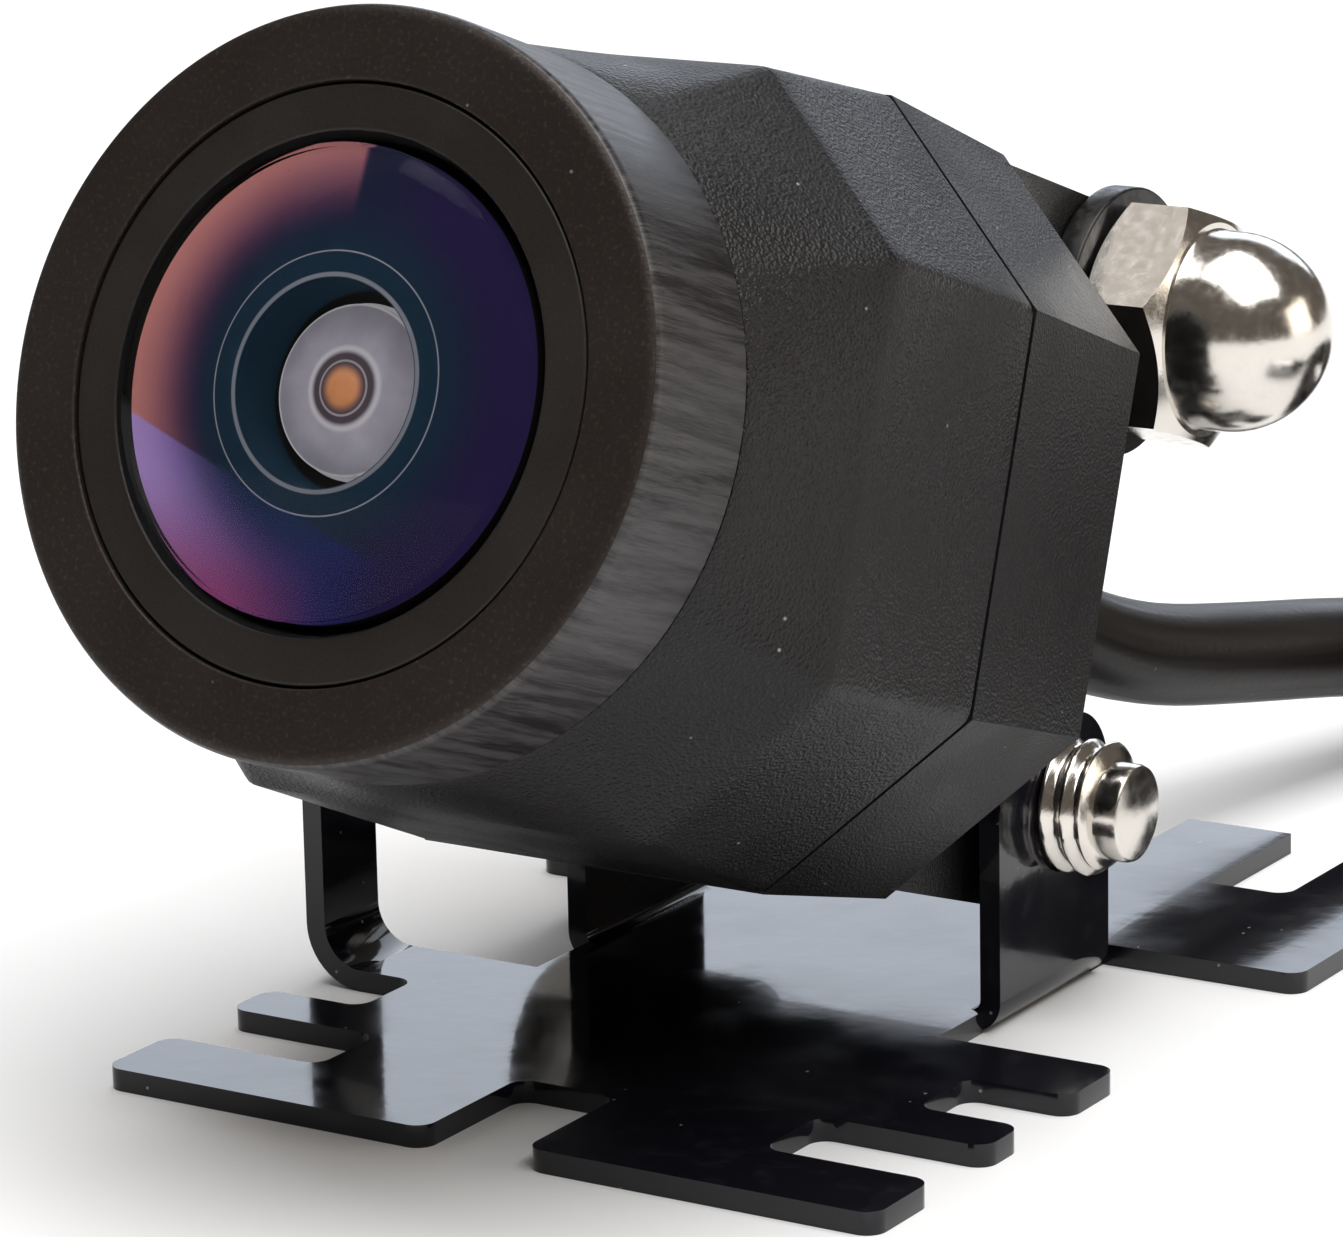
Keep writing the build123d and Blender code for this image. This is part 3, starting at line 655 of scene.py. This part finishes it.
def softened(node, width_mm, segments):
    """Copy of a CAD node with its flat faces made whole and its edges rounded."""
    bm = bmesh.new()
    bm.from_mesh(frame["nodes"][node].data)
    bmesh.ops.remove_doubles(bm, verts=bm.verts, dist=1e-6)
    bmesh.ops.dissolve_limit(bm, angle_limit=radians(0.6), verts=bm.verts, edges=bm.edges,
                             delimit={"NORMAL"})
    mesh = bpy.data.meshes.new(node + "_softened")
    bm.to_mesh(mesh)
    bm.free()
    holder = in_scene(node + "_softened", mesh)
    bevel = holder.modifiers.new("soft_edges", "BEVEL")
    bevel.width, bevel.segments = width_mm * MM, segments
    bevel.limit_method, bevel.angle_limit = "ANGLE", radians(30)
    bevel.harden_normals = False
    result = evaluated_mesh(holder)
    result.shade_smooth()
    result.set_sharp_from_angle(angle=radians(35))
    for face in result.polygons:
        face.use_smooth = face.area < FLAT_FACE
    return result


# Rear cover: the same casting's back half, with four ears for the two bolts. It is coated in a
# finer grain, and its edges are rounded by the tumbling before the coat.
fine_coat = grained("finer_coat", HEAD, (9.0, 0.9), 0.4,
                    ((0.0080, 0.0074, 0.0076), (0.015, 0.014, 0.0145)), (0.4, 0.4, 0.4),
                    (0.36, 0.46), 0.026, Specular_IOR_Level=0.27)
piece("back_cover", softened("rear_cover", 0.6, 4), [fine_coat], ["rear_cover"], "camera")

# ---- base ----------------------------------------------------------------------------
# One strip of 0.8 mm steel, cut and bent: a plate with fingers, two arms for the pivot bolt and
# a finger turned up. It is stove coated in gloss black, which draws back from the cut edges.
gloss_coat = grained("stoved_gloss", None, (1.1, 0.2), 0.7,
                     ((0.006, 0.006, 0.009), (0.012, 0.012, 0.017)), (0.35, 0.35, 0.36),
                     (0.08, 0.18), 0.006, Roughness=0.12, Specular_IOR_Level=0.3, Coat_Weight=0.25,
                     Coat_Roughness=0.04)
piece("bent_base", softened("bracket_base", 0.16, 3), [gloss_coat],
      ["bracket_base"], "bracket")

# ---- bright hardware -----------------------------------------------------------------
# Acorn nuts and bolt in bright nickel: hexagons with turned corners, a polished dome, and a cut
# thread with a dog point where the bolt stands out of the base's arm.
ACROSS_FLATS = 7.9
NUT_X, HEX_H, NUT_DOME_R, NUT_LEN = 8.5, 3.2, 3.55, 7.6

nickel = marked("bright_nickel", HEAD, {"Scale": 2.4, "Detail": 6.0, "Roughness": 0.7},
                ((0.62, 0.58, 0.53), (0.80, 0.77, 0.72)), (0.12, 0.26), 0.006, Metallic=1.0, Roughness=0.09)


def hexagon_radius(t, turn):
    """Radius of the hexagon at an angle, with a corner at the angle turn."""
    local = (t - turn) % (pi / 3)
    return ACROSS_FLATS / 2 / cos(local - pi / 6)


def hexagon_rings(y0, y1, turn):
    """Rings of a hexagon whose corners are turned off to a cone at both ends."""
    inner, slope = ACROSS_FLATS / 2 * 0.96, 1.6

    def side(t):
        return hexagon_radius(t, turn)

    return [(y0, circle_of(inner)), (lambda t: y0 + (side(t) - inner) / slope, side),
            (lambda t: y1 - (side(t) - inner) / slope, side), (y1, circle_of(inner))]


def along_x(x_sign, place, y, z):
    """Place for a part drawn about the y axis, laid along x at (y, z)."""
    turn = Matrix.Rotation(-x_sign * pi / 2, 4, "Z")
    return place @ Matrix.Translation((0, y, z)) @ turn


def both_sides(one_side):
    """One mesh of a part at either side; one_side makes it from the sign of its side."""
    pair = bmesh.new()
    for x_sign in (-1, 1):
        one = one_side(x_sign)
        part = bpy.data.meshes.new("one_side")
        one.to_mesh(part)
        one.free()
        pair.from_mesh(part)
        bpy.data.meshes.remove(part)
    return pair


BOLT_R, NUT_BORE_END, NUT_DOME_RINGS, NUT_STEPS = 2.42, NUT_X + 5.4, 14, 144
CLEAR_R = BOLT_R + 0.02
NUT_TURN, BOLT_TURN, POINT_R = 0.0, 0.2, 0.001
dome_start, hex_end = NUT_X + NUT_LEN - NUT_DOME_R, NUT_X + HEX_H
nut_rings = [(NUT_BORE_END, circle_of(POINT_R)), (NUT_BORE_END, circle_of(CLEAR_R)),
             (NUT_X, circle_of(CLEAR_R))]
nut_rings += hexagon_rings(NUT_X, hex_end, NUT_TURN)
nut_rings += [(hex_end + 0.02, circle_of(NUT_DOME_R + 0.05)), (hex_end + 0.25, circle_of(NUT_DOME_R)),
              (dome_start, circle_of(NUT_DOME_R))]
nut_rings += [(dome_start + NUT_DOME_R * sin(t), circle_of(NUT_DOME_R * cos(t) + POINT_R))
              for t in (pi / 2 * k / NUT_DOME_RINGS for k in range(1, NUT_DOME_RINGS + 1))]
nuts = both_sides(lambda side: ringed(nut_rings, along_x(side, HEAD, LUG_BACK, LUG_Z), NUT_STEPS))
bmesh.ops.remove_doubles(nuts, verts=nuts.verts, dist=3e-6)
piece("cap_nuts", finished_mesh(nuts, 24), [nickel], ["acorn_nuts"], "camera")

ARM_X, PITCH_MM, THREAD_DEPTH = 9.0, 0.8, 0.30
SPRING_X, DOG_R = -ARM_X - 0.8, 1.75
BOLT_HEAD_X, HEAD_FACE_R, BOLT_END = SPRING_X - 2.8, 3.6, 11.8
THREAD_X, THREAD_LEN, THREAD_STOP, THREAD_FADE, THREAD_RINGS = 8.0, 2.85, 10.95, 0.3, 44


def thread_radius(x, t):
    """Rounded 60 degree thread: crest and root by the helix's phase at this angle."""
    phase = (x / PITCH_MM + t / (2 * pi)) % 1
    tooth = abs(phase - 0.5) * 2
    return BOLT_R - THREAD_DEPTH * min(1.0, max(0.0, (tooth - 0.12) / 0.76))


bolt_rings = [(BOLT_HEAD_X, circle_of(POINT_R)), (BOLT_HEAD_X, circle_of(HEAD_FACE_R))]
bolt_rings += hexagon_rings(BOLT_HEAD_X, SPRING_X, BOLT_TURN)
bolt_rings += [(SPRING_X, circle_of(BOLT_R)), (THREAD_X, circle_of(BOLT_R))]
for k in range(THREAD_RINGS + 1):
    x = THREAD_X + THREAD_LEN * k / THREAD_RINGS
    fade = min(1.0, (x - THREAD_X) / THREAD_FADE, (THREAD_STOP - x) / THREAD_FADE)
    bolt_rings.append((x, lambda t, x=x, f=fade: f * thread_radius(x, t) + (1 - f) * DOG_R))
bolt_rings += [(10.9, circle_of(DOG_R)), (11.62, circle_of(DOG_R)), (11.76, circle_of(DOG_R - 0.05)),
               (BOLT_END, circle_of(DOG_R - 0.14)), (BOLT_END, circle_of(POINT_R))]
bolt = ringed(bolt_rings, along_x(1, ROW, PIVOT.y / MM, PIVOT.z / MM), SMALL_STEPS)
piece("pivot_screw", finished_mesh(bolt, 40), [nickel], ["pivot_bolt"], "bracket")


def recoat(node, finish):
    """Gives a CAD node that stays as it is its one material."""
    frame["nodes"][node].data.materials.clear()
    frame["nodes"][node].data.materials.append(finish)


# Clamp stud: plain nickel plated rod through the upper ears, its ends inside the acorn nuts.
recoat("clamp_stud", nickel)

# Washers: thin flat ones under the nuts and between ears and arms, and a split spring washer.
black_steel = marked("blackened_steel", None, {"Scale": 3.0, "Detail": 5.0},
                     ((0.008, 0.008, 0.009), (0.04, 0.038, 0.036)), (0.28, 0.5), 0.01, Metallic=0.7)
nylon = marked("moulded_nylon", None, {"Scale": 1.7, "Detail": 5.0},
               ((0.010, 0.010, 0.010), (0.030, 0.029, 0.028)), (0.42, 0.6), 0.01, Specular_IOR_Level=0.45)
EAR_OUT, SHEET = 7.4, 0.8


def washer_pair(r_out, r_in, x0, x1, place, y, z):
    """Flat washers with eased edges at both sides, about an axis along x at (y, z)."""
    corners = [(r_in, x0), (r_out, x0), (r_out, x1), (r_in, x1)]
    profile = [tuple(p) for p in rounded(corners, (0.05, 0.1, 0.1, 0.05), 3)]
    return both_sides(lambda side: lathe(profile, SMALL_STEPS, along_x(side, place, y, z)))


CLAMP_WASHER_R, WASHER_R = 4.8, 3.9
washers = washer_pair(CLAMP_WASHER_R, BOLT_R + 0.05, EAR_OUT + 0.05, NUT_X - 0.05, HEAD, LUG_BACK, LUG_Z)
piece("nut_washers", finished_mesh(washers, 40), [black_steel], ["clamp_washers"],
      "camera")
washers = washer_pair(WASHER_R, BOLT_R + 0.05, EAR_OUT + 0.1, ARM_X - SHEET - 0.1, ROW, PIVOT.y / MM,
                      PIVOT.z / MM)
piece("pivot_washers", finished_mesh(washers, 40), [nylon], ["friction_washers"],
      "bracket")


def split_ring(r_out, r_in, x0, x1, gap, twist, place, count=90):
    """Spring washer: a square section run round almost a full turn, its ends set apart."""
    bm = bmesh.new()
    sections = []
    for k in range(count + 1):
        t = gap / 2 + (2 * pi - gap) * k / count
        lean = twist * (k / count - 0.5)
        corners = ((r_in, x0 + lean), (r_out, x0 + lean), (r_out, x1 + lean), (r_in, x1 + lean))
        outline = rounded(corners, (0.08,) * 4, 2)
        sections.append([bm.verts.new(place @ Vector((p[0] * cos(t), p[1], p[0] * sin(t))))
                         for p in outline])
    size = len(sections[0])
    for a, b in zip(sections, sections[1:]):
        for k in range(size):
            bm.faces.new((a[k], a[(k + 1) % size], b[(k + 1) % size], b[k]))
    bm.faces.new(sections[0][::-1])
    bm.faces.new(sections[-1])
    return bm


spring = split_ring(WASHER_R, BOLT_R + 0.1, SPRING_X + 0.06, -ARM_X - 0.06, 0.16, 0.1,
                    along_x(1, ROW, PIVOT.y / MM, PIVOT.z / MM))
piece("split_washer", finished_mesh(spring, 40), [black_steel], ["spring_washer"],
      "bracket")
recoat("pivot_spacer", nylon)
recoat("clamp_spacer", nylon)

# ---- gland ---------------------------------------------------------------------------
# Rubber strain relief moulded round the cable: a flange against the back of the cover and a
# taper cut by bending grooves.
rubber = grained("moulded_rubber", HEAD, (5.0, 0.4), 0.8,
                 ((0.012, 0.012, 0.012), (0.026, 0.025, 0.024)), (0.3, 0.3, 0.29),
                 (0.50, 0.66), 0.015, Specular_IOR_Level=0.4)
COVER_BACK = 28.2
gland_corners = [(CABLE_R, 24.9), (4.2, 24.9), (4.2, 26.0), (3.0, 26.0), (3.0, COVER_BACK), (3.7, COVER_BACK),
                 (3.7, 29.6), (3.05, 30.2)]
GROOVES, GROOVE_STEP = 4, 1.3
for i in range(GROOVES):
    y = 30.7 + GROOVE_STEP * i
    r = 3.0 - 0.09 * i
    gland_corners += [(r, y), (r - 0.42, y + 0.12), (r - 0.42, y + 0.52), (r - 0.04, y + 0.64)]
gland_corners += [(2.58, GLAND_END - 0.1), (CABLE_R, GLAND_END)]
gland_radii = (0,) * 5 + (0.2, 0.3, 0.2) + (0.08,) * (4 * GROOVES) + (0.15, 0)
gland = lathe(rounded(gland_corners, gland_radii, 3), SMALL_STEPS, HEAD)
piece("strain_relief", finished_mesh(gland, 45), [rubber], ["cable_gland"], "camera")

# ---- plug ----------------------------------------------------------------------------
# Round four-pole plug: a moulded boot, a plated shell, four gilt contacts in a black insert, and
# a locking collar with grip ribs round it.
PLUG = Matrix.Translation(ROW @ Vector(TAIL[-1])) @ Matrix.Rotation(pi, 4, "Z") @ Matrix.Scale(MM, 4)
boot_corners = [(0, 0), (2.3, 0), (3.0, 0.3)]
for i in range(GROOVES):
    y = 1.2 + 1.35 * i
    r = 3.15 + 0.26 * i
    boot_corners += [(r, y), (r - 0.4, y + 0.12), (r - 0.4, y + 0.5), (r + 0.1, y + 0.62)]
boot_corners += [(4.3, 7.0), (4.3, 9.0), (0, 9.0)]
boot_radii = (0, 0.1, 0.2) + (0.08,) * (4 * GROOVES) + (0.4, 0.15, 0)
boot = lathe(rounded(boot_corners, boot_radii, 3), SMALL_STEPS, PLUG, closed=False)
boot_piece = piece("plug_sleeve", finished_mesh(boot, 45), [rubber], ["plug_boot"],
                   "bracket")

plated = marked("plated_shell", None, {"Scale": 2.0, "Detail": 6.0, "Roughness": 0.7},
                ((0.40, 0.40, 0.41), (0.62, 0.62, 0.62)), (0.16, 0.34), 0.006, Metallic=1.0)
shell_profile = rounded([(0, 9.0), (4.7, 9.0), (4.7, 15.5), (4.0, 15.5), (4.0, 27.0), (3.45, 27.0),
                         (3.45, 19.0), (0, 19.0)], (0, 0.25, 0.2, 0, 0.15, 0.1, 0, 0), 4)
shell = lathe(shell_profile, SMALL_STEPS, PLUG, closed=False)
shell_piece = piece("plug_shell", finished_mesh(shell, 40), [plated], ["plug_body"],
                    "bracket")


def ribs_tree():
    """Geometry nodes: round ribs set on a circle and grown along its axis."""
    tree = bpy.data.node_groups.new("grip_ribs", "GeometryNodeTree")
    for label, kind, value in (("Count", "NodeSocketInt", 28), ("Circle Radius", FLOAT, 4.9),
                               ("Rib Radius", FLOAT, 0.3), ("Rib Length", FLOAT, 6.0),
                               ("Finish", "NodeSocketMaterial", None)):
        socket = tree.interface.new_socket(name=label, in_out="INPUT", socket_type=kind)
        if value is not None:
            socket.default_value = value
    tree.interface.new_socket(name="Geometry", in_out="OUTPUT", socket_type="NodeSocketGeometry")
    given, result = tree.nodes.new("NodeGroupInput"), tree.nodes.new("NodeGroupOutput")
    circle = add(tree, "GeometryNodeMeshCircle", Vertices=given.outputs["Count"],
                 Radius=given.outputs["Circle Radius"])
    rib = add(tree, "GeometryNodeMeshCylinder", Vertices=10, Radius=given.outputs["Rib Radius"],
              Depth=given.outputs["Rib Length"])
    copies = add(tree, "GeometryNodeInstanceOnPoints", Points=circle.outputs[0],
                 Instance=rib.outputs["Mesh"])
    real = add(tree, "GeometryNodeRealizeInstances", Geometry=copies.outputs[0])
    finish = add(tree, "GeometryNodeSetMaterial", Geometry=real.outputs[0],
                 Material=given.outputs["Finish"])
    tree.links.new(finish.outputs[0], result.inputs[0])
    return tree


def grown(name, tree, values):
    """Runs a geometry tree on an empty mesh with the named values, and gives the plain mesh."""
    holder = in_scene(name, bpy.data.meshes.new(name))
    modifier = holder.modifiers.new(name, "NODES")
    modifier.node_group = tree
    keys = {i.name: i.identifier for i in tree.interface.items_tree if i.in_out == "INPUT"}
    for label, value in values.items():
        modifier[keys[label]] = value
    return evaluated_mesh(holder)


collar_profile = rounded([(4.06, 15.8), (4.86, 15.8), (4.86, 24.5), (4.6, 24.5), (4.6, 17.6),
                          (4.06, 17.6)], (0.05, 0.3, 0.12, 0.08, 0, 0), 4)
collar = lathe(collar_profile, SMALL_STEPS, PLUG)
RIBS_MIDDLE = 20.15
ribs = grown("collar_ribs", ribs_tree(), {"Count": 30, "Circle Radius": 4.78, "Rib Radius": 0.2,
                                          "Rib Length": 6.6, "Finish": plated})
ribs.transform(PLUG @ Matrix.Translation((0, RIBS_MIDDLE, 0)) @ Matrix.Rotation(pi / 2, 4, "X"))
collar.from_mesh(ribs)
collar_piece = piece("plug_ring", finished_mesh(collar, 35), [plated],
                     ["plug_collar"], "collar")
gilt = marked("gilt_contact", None, {"Scale": 3.0, "Detail": 4.0},
              ((0.70, 0.46, 0.16), (0.90, 0.66, 0.30)), (0.14, 0.3), Metallic=1.0)
recoat("plug_insulator", nylon)
recoat("plug_pins", gilt)

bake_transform(cable)

# ---- inside --------------------------------------------------------------------------
# Pieces that only show when the camera is taken apart: seals, the rest of the optics, the
# sensor on its board, the video board and its parts, and the cable's four cores.
clear_glass = marked("clear_element", HEAD, {"Scale": 0.8, "Detail": 2.0},
                     ((0.80, 0.86, 0.84), (0.92, 0.95, 0.93)), Roughness=0.02, IOR=1.52,
                     Transmission_Weight=0.85)
filter_glass = marked("filter_glass", HEAD, {"Scale": 0.6, "Detail": 2.0},
                      ((0.45, 0.68, 0.72), (0.62, 0.80, 0.80)), Roughness=0.05, IOR=1.5,
                      Transmission_Weight=0.6)
white_nylon = marked("white_nylon", HEAD, {"Scale": 1.2, "Detail": 3.0},
                     ((0.62, 0.60, 0.54), (0.78, 0.76, 0.70)), Roughness=0.45)
green_board, tree, shader = new_material("green_board", Roughness=0.3, Coat_Weight=0.4)
spot = place_of(tree, HEAD)
runs = add(tree, "ShaderNodeTexBrick", {"offset": 0.4}, Vector=spot, Scale=1.4, Mortar_Size=0.06,
           Color1=(0.010, 0.12, 0.05, 1), Color2=(0.012, 0.15, 0.06, 1), Mortar=(0.03, 0.26, 0.10, 1))
pads = add(tree, "ShaderNodeTexVoronoi", Vector=spot, Scale=0.9)
tree.links.new(blended(tree, between(tree, pads.outputs["Distance"], 0.2, 0.14), runs.outputs["Color"],
                       (0.55, 0.50, 0.36)), shader.inputs["Base Color"])
raised(tree, shader, runs.outputs["Fac"], 0.02)
chip_body, tree, shader = new_material("chip_body", Specular_IOR_Level=0.5)
grain = use_group(tree, grain_and_glint_group, Place=place_of(tree, HEAD), Size=9.0, Roundness=0.5)
# Painted glints: the grain's raised lumps lighten the chip's colour.
tree.links.new(blended(tree, grain.outputs["Painted_Glint"], (0.010, 0.010, 0.011), (0.030, 0.030, 0.032)),
               shader.inputs["Base Color"])
tree.links.new(between(tree, grain.outputs["Height"], 0.2, 1.2, 0.35, 0.55), shader.inputs["Roughness"])
raised(tree, shader, grain.outputs["Height"], 0.006)
core_skin, tree, shader = new_material("core_insulation", Roughness=0.35)
across = add(tree, "ShaderNodeSeparateXYZ", Vector=place_of(tree, HEAD)).outputs["X"]
colour = blended(tree, between(tree, across, -1.5, -1.3), (0.55, 0.03, 0.03), (0.02, 0.02, 0.02))
colour = blended(tree, between(tree, across, -0.1, 0.1), colour, (0.75, 0.55, 0.05))
colour = blended(tree, between(tree, across, 1.3, 1.5), colour, (0.75, 0.75, 0.72))
tree.links.new(colour, shader.inputs["Base Color"])
INSIDE = {"cover_gasket": rubber, "lens_seal": rubber, "cable_jacket_end": rubber,
          "housing_screws": black_steel, "aperture_stop": deep_black, "third_lens": clear_glass,
          "rear_lens": clear_glass, "lens_lock_ring": deep_black, "lens_holder": deep_black,
          "ir_cut_filter": filter_glass, "image_sensor": chip_body, "sensor_board": green_board,
          "video_board": green_board, "board_spacers": nickel, "video_processor": chip_body,
          "power_inductor": chip_body, "board_link": chip_body, "cable_header": white_nylon,
          "cable_cores": core_skin}
for node, finish in INSIDE.items():
    recoat(node, finish)

# ---- floor and light -----------------------------------------------------------------
# Plain pale floor that reaches far past the view. A low panel like a window stands behind, a
# broad light hangs above, a small warm one is at the right and a dim one at the upper left.
FLOOR_HALF = 3.0
bm = bmesh.new()
bmesh.ops.create_grid(bm, x_segments=8, y_segments=8, size=FLOOR_HALF)
floor_mesh = bpy.data.meshes.new("floor")
bm.to_mesh(floor_mesh)
bm.free()
paper = marked("floor_paper", None, {"Scale": 0.02, "Detail": 3.0},
               ((0.88, 0.88, 0.885), (0.93, 0.93, 0.93)), Roughness=0.9, Specular_IOR_Level=0.1)
floor_mesh.materials.append(paper)
floor = in_scene("floor", floor_mesh)


AIM = Vector((0.0, 0.0, 0.02))


def soft_light(name, place, size_x, size_y, watts, colour=(1, 1, 1)):
    """Rectangular light turned to the object."""
    lamp = bpy.data.lights.new(name, "AREA")
    lamp.shape, lamp.size, lamp.size_y = "RECTANGLE", size_x, size_y
    lamp.energy, lamp.color = watts, colour
    turn = (AIM - Vector(place)).to_track_quat("-Z", "Y").to_matrix().to_4x4()
    in_scene(name, lamp).matrix_world = Matrix.Translation(place) @ turn


soft_light("window_light", (-0.35, 1.05, 0.45), 0.9, 0.5, 3.0, (0.80, 0.88, 1.0))
soft_light("top_light", (0.30, -0.10, 1.30), 1.2, 1.6, 29.0)
soft_light("right_light", (0.80, 0.35, 0.22), 0.5, 0.4, 1.4, (1.0, 0.90, 0.78))
soft_light("left_light", (-0.78, -0.15, 1.20), 0.5, 0.6, 0.5, (1.0, 0.96, 0.92))

world = bpy.data.worlds.new("studio")
bpy.context.scene.world = world
world.use_nodes = True
sky = world.node_tree.nodes["Background"].inputs
sky["Color"].default_value = (0.80, 0.70, 0.60, 1)
sky["Strength"].default_value = 0.16
bpy.context.scene.view_settings.view_transform = "Standard"
